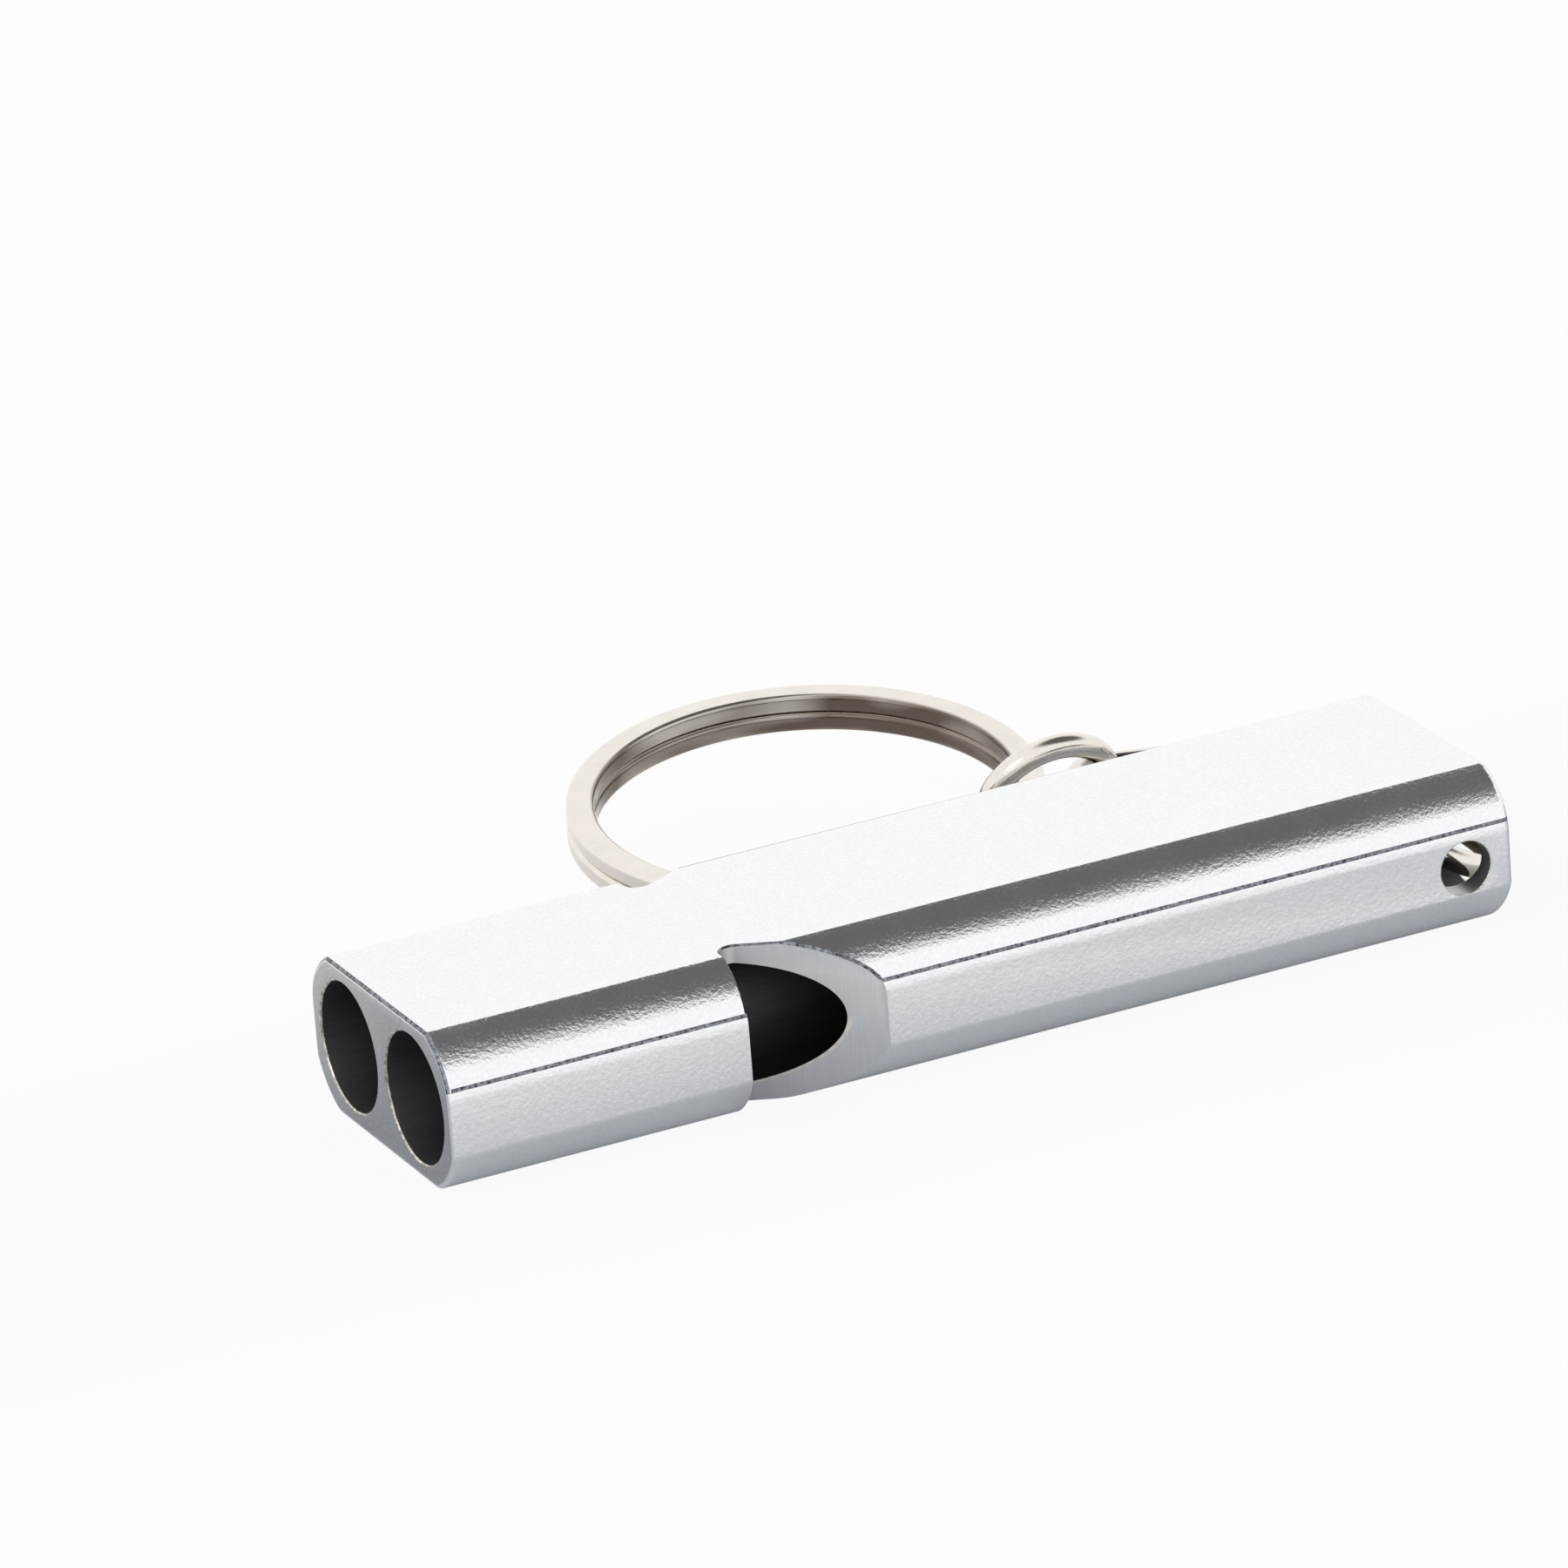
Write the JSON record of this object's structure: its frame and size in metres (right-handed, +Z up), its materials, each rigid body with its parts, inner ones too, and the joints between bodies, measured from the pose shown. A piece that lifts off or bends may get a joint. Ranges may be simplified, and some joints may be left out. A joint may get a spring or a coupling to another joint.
{
  "type": "survival whistle",
  "caption": "Flat metal survival whistle with paired bores and side sound windows, on a short chain of wire rings with a split key ring.",
  "frame": {"origin": "middle of the body's flat underside", "axes": "+X along the whistle from the mouth to the tail, +Y to the side where the chain lies, +Z up"},
  "size_m": [0.0639, 0.0421, 0.0084],
  "materials": {
    "blasted_aluminium": "bead blasted and clear anodised",
    "turned_aluminium": "as turned, dull",
    "nickel_plated_steel": "polished nickel plate on steel"
  },
  "bodies": {
    "whistle": {"whistle_body": "blasted_aluminium", "fipple_plug_near": "turned_aluminium", "fipple_plug_far": "turned_aluminium", "tail_stopper_near": "turned_aluminium", "tail_stopper_far": "turned_aluminium"},
    "tail_ring": {"tail_ring": "nickel_plated_steel"},
    "first_link": {"chain_link_first": "nickel_plated_steel"},
    "second_link": {"chain_link_second": "nickel_plated_steel"},
    "small_ring": {"small_ring": "nickel_plated_steel"},
    "key_ring": {"key_ring": "nickel_plated_steel"}
  },
  "joints": [
    {"name": "tail_ring_swing", "type": "hinge", "parent": "whistle", "child": "tail_ring", "pos_m": [0.02687, 0, 0.00422], "axis": [0, 1, 0], "range_deg": [-20, 2]},
    {"name": "first_link_swing", "type": "hinge", "parent": "tail_ring", "child": "first_link", "pos_m": [0.03121, 0.00355, 0.00245], "axis": [-0.8172, 0.2868, 0.4999], "range_deg": [-35, 0]},
    {"name": "second_link_swing", "type": "hinge", "parent": "first_link", "child": "second_link", "pos_m": [0.03122, 0.01308, 0.00264], "axis": [0.0122, -0.0192, 0.9997], "range_deg": [-90, 0]},
    {"name": "small_ring_swing", "type": "hinge", "parent": "second_link", "child": "small_ring", "pos_m": [0.01654, 0.01377, 0.00426], "axis": [-0.0596, -0.9915, -0.116], "range_deg": [-8, 15]},
    {"name": "key_ring_lift", "type": "hinge", "parent": "small_ring", "child": "key_ring", "pos_m": [0.01384, 0.01446, 0.00299], "axis": [0, 1, 0], "range_deg": [-5, 40]}
  ]
}
